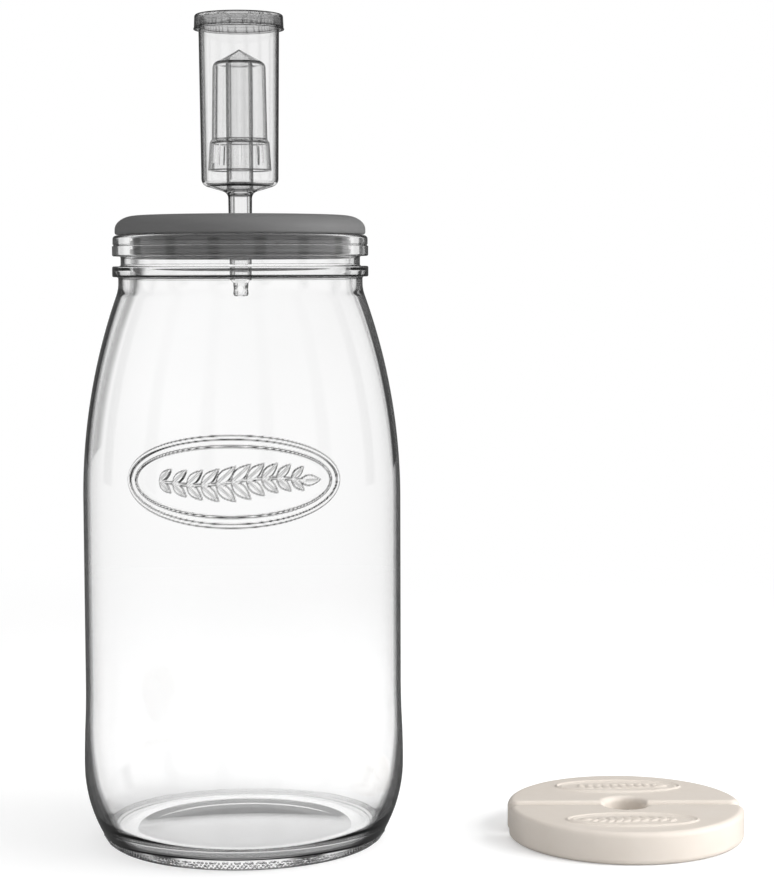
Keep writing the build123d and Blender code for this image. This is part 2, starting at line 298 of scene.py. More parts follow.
def steadied(points, closed):
    """The outline with an extra point near each end of a long run where the outline turns, so
    that smooth shading stays true on the run."""
    line = np.array(points)
    runs = np.roll(line, -1, axis=0) - line
    way = np.arctan2(runs[:, 1], runs[:, 0])
    turns = np.abs((way - np.roll(way, 1) + math.pi) % (2 * math.pi) - math.pi)
    if not closed:
        turns[[0, -1]] = 0.0
    steady = []
    for i, run in enumerate(np.hypot(runs[:, 0], runs[:, 1])):
        steady.append(tuple(line[i]))
        if i == len(line) - 1 and not closed:
            break
        if run > LONG_RUN:
            ends = ((i, RUN_END), ((i + 1) % len(line), run - RUN_END))
            reaches = [reach for k, reach in ends if turns[k] > SHARP_TURN]
            steady += [tuple(line[i] + runs[i] * (reach / run)) for reach in reaches]
    return steady


def on_line(start, end, z):
    """The radius at height z on the line between two points of radius and height."""
    return start[0] + (end[0] - start[0]) * (z - start[1]) / (end[1] - start[1])


def growing_steps(length, first, widest):
    """Where steps end that fill a length and grow from a first one to a widest one."""
    steps, step = [], first
    while sum(steps) < length:
        step = min(step * STEP_GROWTH, widest)
        steps.append(step)
    return np.cumsum(steps) * (length / sum(steps))


def graded_rows(start, end, first, widest):
    """Heights from start to end whose steps grow from a first one to a widest one."""
    steps = np.array([0.0, *growing_steps(abs(end - start), first, widest)])
    return start + np.sign(end - start) * steps


def even_angles(number):
    """Angles of a whole turn in equal steps."""
    return np.arange(number) * (2 * math.pi / number)


def graded_angles(reach, fine):
    """Angles of a whole turn that are fine within reach of the front and widen step by step round
    the back, and the numbers of those that a thinned row keeps."""
    side = reach + growing_steps(math.pi - reach, fine, BACK_STEP)
    middle = np.linspace(-reach, reach, THINNING * math.ceil(2 * reach / fine / THINNING) + 1)
    angles = FRONT + np.concatenate([middle, side[:-1], -side[::-1] + 2 * math.pi])
    number = np.arange(len(angles))
    return angles, number[(number >= len(middle)) | (number % THINNING == 0)]


def turned(name, outline, angles, closed=False, stand_out=None, kept=None, fine_rows=None):
    """A mesh object turned about Z. An open outline starts and ends on the axis, and a closed one
    makes a ring. stand_out, if given, takes radius, angle and height, and gives extra radius.
    kept, if given, numbers the only angles that a row has unless fine_rows says that it is fine."""
    line = np.array(outline if closed else outline[1:-1])
    radius, turn = np.meshgrid(line[:, 0], angles, indexing="ij")
    rise = np.repeat(line[:, 1:2], len(angles), axis=1)
    rows, columns = radius.shape
    is_there = np.ones((rows, columns), dtype=bool)
    if kept is not None:
        is_there = fine_rows(*line.T)[:, None] | np.isin(np.arange(columns), kept)
    if stand_out is not None:
        radius = radius + stand_out(radius, turn, rise)
    grid = np.stack([radius * np.cos(turn), radius * np.sin(turn), rise], axis=-1)
    points, number = grid[is_there].tolist(), np.cumsum(is_there).reshape(rows, columns) - 1
    faces = []
    for i in range(rows if closed else rows - 1):
        ni = (i + 1) % rows
        fewer = np.flatnonzero(is_there[i] & is_there[ni])
        if np.array_equal(is_there[i], is_there[ni]):
            here, there = number[i, fewer], number[ni, fewer]
            quads = np.stack([here, np.roll(here, -1), np.roll(there, -1), there], axis=-1)
            faces += quads.tolist()
            continue
        for j, nj in zip(fewer, np.roll(fewer, -1)):
            span = np.arange(j, (nj if nj > j else nj + columns) + 1) % columns
            here, there = (number[k, span][is_there[k, span]].tolist() for k in (i, ni))
            faces.append(here + there[::-1])
    if not closed:
        start, end = len(points), len(points) + 1
        points += [(0, 0, outline[0][1]), (0, 0, outline[-1][1])]
        first, last = (number[k][is_there[k]].tolist() for k in (0, -1))
        faces += [(start, first[k], first[k - 1]) for k in range(len(first))]
        faces += [(end, last[k - 1], last[k]) for k in range(len(last))]
    return solid(name, points, faces)


def new_object(name, data):
    """An object with its data, in the scene."""
    piece = bpy.data.objects.new(name, data)
    bpy.context.scene.collection.objects.link(piece)
    return piece


def solid(name, points, faces):
    """An object from points and faces, smooth shaded, with its faces turned outwards."""
    mesh = bpy.data.meshes.new(name)
    mesh.from_pydata(points, [], faces)
    mesh.validate()
    if enclosed_volume(mesh) < 0:
        mesh.flip_normals()
    mesh.shade_smooth()
    return new_object(name, mesh)


def enclosed_volume(mesh):
    """The signed volume inside a closed mesh, which is negative when its faces point inwards."""
    shape = bmesh.new()
    shape.from_mesh(mesh)
    volume = shape.calc_volume(signed=True)
    shape.free()
    return volume


# The raised emblem: a double oval line round a leafy sprig. Heights are shares of its relief.

OVAL_HALF_WIDTH, OVAL_HALF_HEIGHT, EMBLEM_MARGIN = 46.5 * MM, 18.0 * MM, 1.5 * MM
OVAL_LINE, OVAL_INNER_LINE, OVAL_STEP, INNER_LINE_HEIGHT = 1.9 * MM, 1.1 * MM, 3.6 * MM, 0.75
SPRIG_HALF_LENGTH, SPRIG_STEM, SPRIG_BOW, STEM_HEIGHT = 31.0 * MM, 1.3 * MM, 1.4 * MM, 0.8
LEAF_COUNT, LEAF_LENGTH, LEAF_HALF_WIDTH, LEAF_LEAN = 10, 11.6 * MM, 2.7 * MM, math.radians(42)
LEAF_BLUNTNESS, LEAF_SHORTENING, LONGEST_LEAF, TIP_LEAF = 0.8, 0.35, 0.1, 0.9
LEAF_RIB, RIB_DEPTH, RELIEF_EDGE, RELIEF_GRID, TINY = 0.4 * MM, 0.45, 0.7 * MM, 0.45 * MM, 1e-9


def ramp(depth, edge):
    """From 0 at the edge of a shape to 1 where depth inside it reaches edge."""
    t = np.clip(depth / edge, 0, 1)
    return t * t * (3 - 2 * t)


def oval_line(u, v, inset, width, edge):
    """A raised line along an oval that lies inset within the outer one."""
    a, b = OVAL_HALF_WIDTH - inset, OVAL_HALF_HEIGHT - inset
    reach = np.sqrt((u / a) ** 2 + (v / b) ** 2) + TINY
    slope = np.sqrt((u / a**2) ** 2 + (v / b**2) ** 2) / reach + TINY
    return ramp(width / 2 - np.abs(reach - 1) / slope + edge / 4, edge)


def leaf(u, v, root, angle, length, edge):
    """A raised pointed leaf with a groove along its middle."""
    du, dv = u - root[0], v - root[1]
    along = (du * math.cos(angle) + dv * math.sin(angle)) / length
    across = -du * math.sin(angle) + dv * math.cos(angle)
    swell = np.sin(math.pi * np.clip(along, 0, 1) ** LEAF_BLUNTNESS)
    half = LEAF_HALF_WIDTH * (length / LEAF_LENGTH) * swell
    return ramp(half - np.abs(across), edge) * (1 - RIB_DEPTH * np.exp(-((across / LEAF_RIB) ** 2)))


def emblem(u, v, scale=1.0):
    """The emblem's height, from 0 to 1, at places u across and v up from its middle."""
    u, v, edge = u / scale, v / scale, RELIEF_EDGE / scale**0.5
    relief = oval_line(u, v, 0.0, OVAL_LINE, edge)
    inner = INNER_LINE_HEIGHT * oval_line(u, v, OVAL_STEP, OVAL_INNER_LINE, edge)
    relief = np.maximum(relief, inner)
    stem_v = SPRIG_BOW * np.sin(u / SPRIG_HALF_LENGTH * math.pi)
    off_stem = np.abs(v - stem_v)
    stem = ramp(SPRIG_STEM / 2 - off_stem + edge / 4, edge) * (np.abs(u) < SPRIG_HALF_LENGTH)
    relief = np.maximum(relief, STEM_HEIGHT * stem)
    for k in range(LEAF_COUNT):
        along = -1 + 2 * k / LEAF_COUNT
        root = (along * SPRIG_HALF_LENGTH, SPRIG_BOW * math.sin(along * math.pi))
        length = LEAF_LENGTH * (1 - LEAF_SHORTENING * abs(along + LONGEST_LEAF))
        for side in (-1, 1):
            relief = np.maximum(relief, leaf(u, v, root, side * LEAF_LEAN, length, edge))
    tip = (SPRIG_HALF_LENGTH - LEAF_LENGTH / 4, 0.0)
    return np.maximum(relief, leaf(u, v, tip, 0.0, LEAF_LENGTH * TIP_LEAF, edge))


# Nodes, Geometry Nodes trees, and the plain meshes that they leave.

SOCKET_KINDS = {int: "NodeSocketInt", float: "NodeSocketFloat", tuple: "NodeSocketVector"}
SHARP_EDGE = math.radians(35)
DOME_SIDES, DOME_RINGS, SMALLEST_DOME, LARGEST_DOME = 8, 5, 0.75, 1.15


def add(tree, kind, inputs=None, output=None, **settings):
    """A node with its settings, and with its inputs linked to sockets or set to values. Gives the
    output that is asked for, or else the first one in use."""
    node = tree.nodes.new(kind)
    for key, value in settings.items():
        setattr(node, key, value)
    for key, value in (inputs or {}).items():
        if isinstance(value, bpy.types.NodeSocket):
            tree.links.new(value, node.inputs[key])
        else:
            node.inputs[key].default_value = value
    return node.outputs[output] if output else next((s for s in node.outputs if s.enabled), None)


def maths(tree, operation, *values):
    """What a Math node makes of one to three values."""
    return add(tree, "ShaderNodeMath", dict(enumerate(values)), operation=operation)


def new_tree(name, defaults):
    """A Geometry Nodes tree that takes a geometry, a material and what the defaults name, and the
    sockets where they arrive."""
    tree = bpy.data.node_groups.new(name, "GeometryNodeTree")
    tree.interface.new_socket("Geometry", in_out="OUTPUT", socket_type="NodeSocketGeometry")
    for label in ("Geometry", "Material"):
        tree.interface.new_socket(label, in_out="INPUT", socket_type="NodeSocket" + label)
    for label, default in defaults.items():
        kind = SOCKET_KINDS[type(default)]
        tree.interface.new_socket(label, in_out="INPUT", socket_type=kind).default_value = default
    return tree, tree.nodes.new("NodeGroupInput").outputs


def end_tree(tree, geometry, material):
    """Ends a tree with a geometry made real and dressed in a material."""
    real = add(tree, "GeometryNodeRealizeInstances", {"Geometry": geometry})
    dressed = add(tree, "GeometryNodeSetMaterial", {"Geometry": real, "Material": material})
    add(tree, "NodeGroupOutput", {"Geometry": dressed})
    return tree


def cut_ring_tree(name, cutter_kind):
    """A tree that cuts a ring of equal openings round the Z axis, with a box or a drill."""
    defaults = {"Count": 8, "Ring Radius": 0.01, "Height": 0.0}
    defaults.update({"Cutter Size": (MM, MM, MM), "Cutter Turn": (0.0, 0.0, 0.0)})
    tree, got = new_tree(name, defaults)
    if cutter_kind == "box":
        shape = add(tree, "GeometryNodeMeshCube", {"Size": (1.0, 1.0, 1.0)})
    else:
        rod = {"Vertices": DRILL_SIDES, "Radius": 0.5, "Depth": 1.0}
        shape = add(tree, "GeometryNodeMeshCylinder", rod)
    sized = {"Geometry": shape, "Scale": got["Cutter Size"], "Rotation": got["Cutter Turn"]}
    cutter = add(tree, "GeometryNodeTransform", sized)
    circle = {"Vertices": got["Count"], "Radius": got["Ring Radius"]}
    ring = add(tree, "GeometryNodeMeshCircle", circle)
    lift = add(tree, "ShaderNodeCombineXYZ", {"Z": got["Height"]})
    raised = add(tree, "GeometryNodeTransform", {"Geometry": ring, "Translation": lift})
    step = maths(tree, "DIVIDE", 2 * math.pi, got["Count"])
    turn = maths(tree, "MULTIPLY", add(tree, "GeometryNodeInputIndex"), step)
    facing = add(tree, "ShaderNodeCombineXYZ", {"Z": turn})
    copied = {"Points": raised, "Instance": cutter, "Rotation": facing}
    copies = add(tree, "GeometryNodeInstanceOnPoints", copied)
    real = add(tree, "GeometryNodeRealizeInstances", {"Geometry": copies})
    both = {"Mesh 1": got["Geometry"], "Mesh 2": real}
    cut = add(tree, "GeometryNodeMeshBoolean", both, operation="DIFFERENCE", solver="EXACT")
    return end_tree(tree, cut, got["Material"])


def stipple_tree():
    """A tree that sets small domes in staggered rows round the heel, on a cone that follows it."""
    defaults = {"Count": 200, "Rows": 3, "Seed": 7, "Foot Radius": 0.06, "Foot Height": 0.0015}
    defaults.update({"Row Step Out": 0.0006, "Row Step Up": 0.0009, "Dome Radius": 0.0005})
    tree, got = new_tree("Stippled heel", defaults)
    number, index = got["Count"], add(tree, "GeometryNodeInputIndex")
    points = {"Count": maths(tree, "MULTIPLY", number, got["Rows"]), "Offset": (0.0, 0.0, 0.0)}
    line = add(tree, "GeometryNodeMeshLine", points, mode="OFFSET")
    row = maths(tree, "FLOOR", maths(tree, "DIVIDE", index, number))
    staggered = maths(tree, "MULTIPLY_ADD", row, 0.5, index)
    angle = maths(tree, "MULTIPLY", staggered, maths(tree, "DIVIDE", 2 * math.pi, number))
    radius = maths(tree, "MULTIPLY_ADD", row, got["Row Step Out"], got["Foot Radius"])
    rise = maths(tree, "MULTIPLY_ADD", row, got["Row Step Up"], got["Foot Height"])
    waves = (maths(tree, wave, angle) for wave in ("COSINE", "SINE"))
    x, y = (maths(tree, "MULTIPLY", wave, radius) for wave in waves)
    place = add(tree, "ShaderNodeCombineXYZ", {"X": x, "Y": y, "Z": rise})
    spread = add(tree, "GeometryNodeSetPosition", {"Geometry": line, "Position": place})
    ball = {"Segments": DOME_SIDES, "Rings": DOME_RINGS, "Radius": got["Dome Radius"]}
    dome = add(tree, "GeometryNodeMeshUVSphere", ball)
    uneven = {"Min": SMALLEST_DOME, "Max": LARGEST_DOME, "Seed": got["Seed"]}
    scale = add(tree, "FunctionNodeRandomValue", uneven, data_type="FLOAT")
    copied = {"Points": spread, "Instance": dome, "Scale": scale}
    return end_tree(tree, add(tree, "GeometryNodeInstanceOnPoints", copied), got["Material"])


def grow(piece, tree, values):
    """Runs a tree on a piece with its named inputs set, and leaves the result as a plain mesh."""
    modifier = piece.modifiers.new(tree.name, "NODES")
    modifier.node_group = tree
    for socket in tree.interface.items_tree:
        if socket.in_out == "INPUT" and socket.name in values:
            modifier[socket.identifier] = values[socket.name]
    graph = bpy.context.evaluated_depsgraph_get()
    made = bpy.data.meshes.new_from_object(piece.evaluated_get(graph))
    piece.modifiers.clear()
    old, piece.data = piece.data, made
    made.name = piece.name
    bpy.data.meshes.remove(old)
    made.shade_smooth()
    made.set_sharp_from_angle(angle=SHARP_EDGE)


# Materials.

GLASS_IOR, POLYSTYRENE_IOR, SILICONE_IOR, GLAZE_IOR = 1.52, 1.5, 1.41, 1.5
# The last colour is the near-black painted as shade along stored edges of glass and plastic.
NOISE_LOW, NOISE_HIGH, SILICONE_SHADE, PAINTED_SHADE_COLOUR = 0.3, 0.7, 0.93, "080808"


def new_material(name):
    """An empty material with its tree and its output node."""
    material = bpy.data.materials.new(name)
    material.use_nodes = True
    tree = material.node_tree
    tree.nodes.clear()
    return material, tree, tree.nodes.new("ShaderNodeOutputMaterial")


def colour_steps(tree, factor, steps):
    """A smooth colour ramp through steps of a position and an sRGB hex value."""
    tone = add(tree, "ShaderNodeValToRGB", {"Fac": factor})
    stops = tone.node.color_ramp.elements
    tone.node.color_ramp.interpolation = "EASE"
    while len(stops) < len(steps):
        stops.new(0.5)
    for stop, (position, text) in zip(stops, steps.items()):
        stop.position, stop.color = position, linear(text)
    return tone


def mixed(tree, factor, a, b):
    """A mix of two colours."""
    return add(tree, "ShaderNodeMix", {"Factor": factor, "A": a, "B": b}, data_type="RGBA")


def ranged(tree, value, low, high, to_low=0.0, to_high=1.0, kind="SMOOTHSTEP"):
    """A value's place between low and high, as a value between two others."""
    ends = {"From Min": low, "From Max": high, "To Min": to_low, "To Max": to_high}
    return add(tree, "ShaderNodeMapRange", {"Value": value, **ends}, interpolation_type=kind)


def object_place(tree):
    """The shaded point in the piece's own coordinates."""
    return add(tree, "ShaderNodeTexCoord", output="Object")


def from_axis(tree):
    """The way from the Z axis to the shaded point."""
    sides = {0: object_place(tree), 1: (1.0, 1.0, 0.0)}
    return add(tree, "ShaderNodeVectorMath", sides, operation="MULTIPLY")


def length_of(tree, vector):
    """A vector's length."""
    return add(tree, "ShaderNodeVectorMath", {0: vector}, "Value", operation="LENGTH")


def turned_outward(tree, least, full):
    """1 where a turned piece's wall faces away from the Z axis, fading to 0 where it faces up,
    down or towards the axis."""
    out = add(tree, "ShaderNodeVectorMath", {0: from_axis(tree)}, operation="NORMALIZE")
    ways = {0: out, 1: add(tree, "ShaderNodeNewGeometry", output="Normal")}
    share_out = add(tree, "ShaderNodeVectorMath", ways, "Value", operation="DOT_PRODUCT")
    return ranged(tree, share_out, least, full)


def painted_shade_sooner(tree, measure, thin, full_shade_at, extra):
    """How much sooner painted shade greys a wall lower down or nearer the axis, from its height or
    its radius.
    """
    if measure == "height":
        value = add(tree, "ShaderNodeSeparateXYZ", {0: object_place(tree)}, "Z")
    else:
        value = length_of(tree, from_axis(tree))
    return ranged(tree, value, full_shade_at, thin, extra, 0.0)


def clear_material(name, ior, edge_steps, shadow_tint, shade_sooner, outward):
    """A see-through material with painted shade: its colour goes grey where its outside turns away
    from the eye, standing in for the dark edges that refraction gives a clear wall, and near-black
    along the edges that its mesh stores. It lets the lamps through, so that it casts a thin shadow."""
    material, tree, out = new_material(name)
    # Painted shade: grey at grazing angles on the outer wall, coming sooner lower down or nearer
    # the axis.
    facing = add(tree, "ShaderNodeLayerWeight", {"Blend": 0.5}, "Facing")
    seen = maths(tree, "ADD", facing, painted_shade_sooner(tree, *shade_sooner))
    grazing_painted_shade = maths(tree, "MULTIPLY", seen, turned_outward(tree, *outward))
    # The stored share paints near-black shade along edges.
    stored_painted_shade = add(tree, "ShaderNodeAttribute", output="Fac", attribute_name=PAINTED_SHADE_ATTRIBUTE)
    tone = mixed(tree, stored_painted_shade, colour_steps(tree, grazing_painted_shade, edge_steps), linear(PAINTED_SHADE_COLOUR))
    clear = {"Base Color": tone, "Roughness": 0.0, "IOR": ior, "Transmission Weight": 1.0}
    body = add(tree, "ShaderNodeBsdfPrincipled", clear)
    shadow = add(tree, "ShaderNodeBsdfTransparent", {"Color": linear(shadow_tint)})
    is_shadow = add(tree, "ShaderNodeLightPath", output="Is Shadow Ray")
    mix = add(tree, "ShaderNodeMixShader", {0: is_shadow, 1: body, 2: shadow})
    tree.links.new(mix, out.inputs["Surface"])
    return material


def soda_lime_glass():
    """Pressed and blown soda-lime glass: colourless through its faces, with painted shade that
    greys it towards near-black where its outside turns from the eye, sooner towards the heel.
    """
    steps = {
        0.0: "FFFFFF",
        0.5: "FDFDFD",
        0.68: "E8E8E8",
        0.74: "787878",
        0.79: "1E1E1E",
        1.0: "040404",
    }
    # Painted shade comes sooner below 62 mm, most at 14 mm and under.
    shade_sooner = ("height", 62 * MM, 14 * MM, 0.16)
    name = "soda_lime_glass_pressed"
    return clear_material(name, GLASS_IOR, steps, "FCFCFC", shade_sooner, (0.3, 0.7))


def clear_polystyrene(name, tint):
    """Injection-moulded clear polystyrene: a shade greyer than glass, with painted shade that
    darkens its edges, sooner near the axis.
    """
    steps = {0.0: tint, 0.4: tint, 0.55: "A0A0A0", 0.63: "383838", 0.72: "0C0C0C", 1.0: "040404"}
    # Painted shade comes sooner within 8 mm of the axis, most within 6.2 mm.
    shade_sooner = ("radius", 8 * MM, 6.2 * MM, 0.2)
    return clear_material(name, POLYSTYRENE_IOR, steps, "F6F6F6", shade_sooner, (0.75, 0.92))


def satin_material(name, tones, patterns, shine, bump, surface):
    """A dense material with a satin skin. Two noise patterns, a cloud and a grain, each come as a
    size in millimetres, a detail and a roughness. The cloud mixes two tones, the pattern that
    shine names sets the surface's roughness between two values, and the grain raises it."""
    material, tree, out = new_material(name)
    place, noises = object_place(tree), {}
    for label, (spacing, detail, roughness) in patterns.items():
        noise = {"Vector": place, "Scale": 1 / (spacing * MM)}
        noise.update({"Detail": detail, "Roughness": roughness})
        noises[label] = add(tree, "ShaderNodeTexNoise", noise, "Fac")
    strength, depth = bump
    raised = {"Strength": strength, "Distance": depth * MM, "Height": noises["grain"]}
    pattern, *span = shine
    skin = {
        "Base Color": mixed(tree, noises["cloud"], *tones),
        "Roughness": ranged(tree, noises[pattern], NOISE_LOW, NOISE_HIGH, *span, kind="LINEAR"),
        "Normal": add(tree, "ShaderNodeBump", raised),
    }
    body = add(tree, "ShaderNodeBsdfPrincipled", {**skin, **surface})
    tree.links.new(body, out.inputs["Surface"])
    return material


def moulded_silicone(tint):
    """Compression-moulded silicone rubber: an even grey with a satin skin from a blasted mould,
    whose grain is drawn at 0.6 mm because the real one is too fine to show."""
    tones = tuple(SILICONE_SHADE * c for c in tint[:3]) + (1.0,), tuple(tint)
    patterns = {"cloud": (14.0, 4.0, 0.5), "grain": (0.6, 3.0, 0.6)}
    shine, bump = ("grain", 0.42, 0.54), (0.12, 0.05)
    surface = {"IOR": SILICONE_IOR}
    return satin_material("silicone_rubber_moulded", tones, patterns, shine, bump, surface)


def glazed_stoneware(glaze, glaze_thin):
    """Pressed stoneware under a thin glaze: a soft warm white that clouds a little over about
    20 mm, with the glaze's faint 4 mm ripple and a low satin shine."""
    tones = tuple(glaze), tuple(glaze_thin)
    coat = {"IOR": GLAZE_IOR, "Coat Weight": 0.15, "Coat Roughness": 0.2}
    patterns = {"cloud": (20.0, 5.0, 0.55), "grain": (4.0, 2.0, 0.5)}
    shine, bump = ("cloud", 0.3, 0.42), (0.25, 0.06)
    return satin_material("stoneware_white_glazed", tones, patterns, shine, bump, coat)


# Pieces.

# Counts of points along the jar's outline, and the steps of its rows away from the emblem.
HOLLOW_ROWS, HEEL_ROWS, BULGE_ROWS, CORNER_ROWS, FLOOR_ROWS = 12, 15, 12, 16, 14
INNER_SHOULDER_ROWS, INNER_SIDE_ROWS, INNER_HEEL_ROWS = 26, 5, 7
LOW_STEP, SHOULDER_STEP, RING_INNER_EDGE = 14 * MM, 3.6 * MM, 0.4
# How steep a step of the emblem has to be for full painted shade, and the reaches and share of
# painted shade at the bead's edges.
FULL_CLIMB, BEAD_LOWER_REACH, BEAD_UPPER_REACH, BEAD_UPPER_SHARE = 0.45, 1.1, 0.6, 0.7
STIPPLE_ROWS, STIPPLE_SEED, STIPPLE_HEIGHT, STIPPLE_SINK = 3, 7, 1.6 * MM, 0.2 * MM
STIPPLE_STEP_OUT, STIPPLE_STEP_UP = 0.68 * MM, 1.05 * MM


def stands_for(piece, node, body, slot, material=None):
    """Dresses a piece, rides it on its body and puts it in a CAD node's place."""
    if material is not None:
        piece.data.materials.clear()
        piece.data.materials.append(material)
    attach(piece, body)
    if node:
        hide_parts(node)


def heel_arc(s):
    """The radius of the heel's outer arc."""
    return (s.heel_height**2 + s.heel_step**2) / (2 * s.heel_step)


def body_radius(s):
    """The radius of the jar's straight body."""
    return s.heel_radius - s.heel_bulge


def side_radius(s, z, inset, neck):
    """The radius of the body's side at heights z, set in by so much, where the shoulder's arc
    ends at the neck's radius."""
    heel, step = heel_arc(s), body_radius(s) - inset - neck
    middle = (s.heel_height + s.bulge_top) / 2
    fade = ((middle - s.heel_height) ** 2 + s.heel_bulge**2 / 4) / s.heel_bulge
    shoulder = (s.shoulder_rise**2 + step**2) / (2 * step)

    def dip(radius, low, high, way):
        """How far an arc that starts upright has bent away at heights z between two heights."""
        run = np.clip(z, low, high) - (low if way > 0 else high)
        return radius - np.sqrt(radius**2 - run**2)

    radius = s.heel_radius - inset - dip(heel - inset, 0.0, s.heel_height, -1)
    radius -= dip(fade, s.heel_height, middle, 1)
    radius -= s.heel_bulge / 2 - dip(fade, middle, s.bulge_top, -1)
    return radius - dip(shoulder, s.shoulder_start, s.shoulder_start + s.shoulder_rise, 1)


def is_outer(s, radius, z):
    """Which points of the jar are on its outer wall."""
    return radius > side_radius(s, z, s.wall / 2, s.neck_radius)


def emblem_places(s, radius, turn, z):
    """How far across and up from the emblem's middle points are, and which are near it."""
    across, up = (turn - FRONT) * body_radius(s), z - s.emblem_height
    near = (np.abs(up) < 2 * OVAL_HALF_HEIGHT) & (np.abs(across) < 2 * OVAL_HALF_WIDTH)
    return across, up, near & is_outer(s, radius, z)


def floor_outline(s):
    """The jar's floor inside, from the heel's inner arc round the corner to the middle."""
    heel, inner_heel = heel_arc(s), heel_arc(s) - s.wall
    edge = s.heel_radius - heel + math.sqrt(inner_heel**2 - (s.heel_height - s.base) ** 2)
    dome = (edge**2 + s.floor_rise**2) / (2 * s.floor_rise)
    low = np.array((0.0, s.base + s.floor_rise - dome))
    high = np.array((s.heel_radius - heel, s.heel_height))
    way, gap = (high - low) / math.dist(high, low), math.dist(high, low)
    from_low, from_high = dome + s.floor_corner, inner_heel - s.floor_corner
    along = (from_low**2 - from_high**2 + gap**2) / (2 * gap)
    middle = low + way * along + np.array((way[1], -way[0])) * math.sqrt(from_low**2 - along**2)
    start = math.degrees(math.atan2(*(middle - high)[::-1]))
    end = math.degrees(math.atan2(*(low - middle)[::-1]))
    corner = arc(middle, s.floor_corner, start, end, CORNER_ROWS)
    radii = np.linspace(corner[-1][0], 0, FLOOR_ROWS)[1:]
    return corner + [(r, low[1] + math.sqrt(dome**2 - r**2)) for r in radii]


def jar_outline(s):
    """The jar's outline from under its base, up its outside, over the rim and down its inside."""
    foot_radius, body = s.heel_radius - s.heel_step, body_radius(s)
    ring_inner = foot_radius - s.ring_width
    hollow = (ring_inner**2 + s.push_up**2) / (2 * s.push_up)
    shoulder_top = s.shoulder_start + s.shoulder_rise
    bead = shoulder_top + s.neck_height
    recess = bead + s.bead_height
    rim = recess + s.recess_height
    groove = rim + s.rim_band
    upper = groove + s.groove_height
    small = (s.rim_radius - s.groove_radius) / 2
    blend = s.neck_blend * s.shoulder_rise

    radii = np.linspace(0, ring_inner, HOLLOW_ROWS)[:-1]
    under = [(r, s.push_up - hollow + math.sqrt(hollow**2 - r**2)) for r in radii]
    foot = [(ring_inner, 0.0, s.foot_edge * RING_INNER_EDGE), (foot_radius, 0.0, s.foot_edge)]
    half = OVAL_HALF_HEIGHT + EMBLEM_MARGIN
    low, high = s.emblem_height - half, s.emblem_height + half
    outer_rows = [
        *np.linspace(0, s.heel_height, HEEL_ROWS)[1:],
        *np.linspace(s.heel_height, s.bulge_top, BULGE_ROWS)[1:],
        *graded_rows(low, s.bulge_top, RELIEF_GRID, LOW_STEP)[1:-1][::-1],
        *np.arange(low, high, RELIEF_GRID),
        *graded_rows(high, shoulder_top, RELIEF_GRID, SHOULDER_STEP)[:-1],
    ]
    finish = [
        (s.neck_radius, shoulder_top, blend / (body - s.neck_radius)),
        (s.neck_radius, bead, s.root),
        (s.bead_radius, bead, s.edge),
        (s.bead_radius, recess, s.edge),
        (s.recess_radius, recess, s.root),
        (s.recess_radius, rim, s.root),
        (s.rim_radius, rim, s.edge),
        (s.rim_radius, groove, small),
        (s.groove_radius, groove, small / 2),
        (s.groove_radius, upper, small / 2),
        (s.rim_upper_radius, upper, small / 2),
        (s.rim_upper_radius, s.top, s.top_edge),
        (s.mouth_radius, s.top, s.edge),
        (s.mouth_radius, recess, s.mouth_blend),
        (s.neck_inner, bead, s.mouth_blend),
        (s.neck_inner, shoulder_top, blend / (body - s.wall - s.neck_inner)),
    ]
    floor = floor_outline(s)
    inner_rows = [
        *np.linspace(shoulder_top, s.shoulder_start, INNER_SHOULDER_ROWS)[1:],
        *np.linspace(s.shoulder_start, s.bulge_top, INNER_SIDE_ROWS)[1:],
        *np.linspace(s.bulge_top, s.heel_height, BULGE_ROWS)[1:],
        *np.linspace(s.heel_height, floor[0][1], INNER_HEEL_ROWS)[1:-1],
    ]
    side = [(float(side_radius(s, z, 0.0, s.neck_radius)), z) for z in outer_rows]
    inside = [(float(side_radius(s, z, s.wall, s.neck_inner)), z) for z in inner_rows]
    return rounded([*under, *foot, *side, *finish, *inside, *floor])


def store_painted_shade(piece, shares_at):
    """Stores at each point a share from 0 to 1 of near-black shade that its material paints,
    standing in for the light that the edge turns away.
    """
    places = np.zeros(len(piece.data.vertices) * 3)
    piece.data.vertices.foreach_get("co", places)
    x, y, z = places.reshape(-1, 3).T
    layer = piece.data.attributes.new(PAINTED_SHADE_ATTRIBUTE, "FLOAT", "POINT")
    shares = shares_at(np.hypot(x, y), np.arctan2(y, x), z)
    layer.data.foreach_set("value", shares.astype(np.float32))


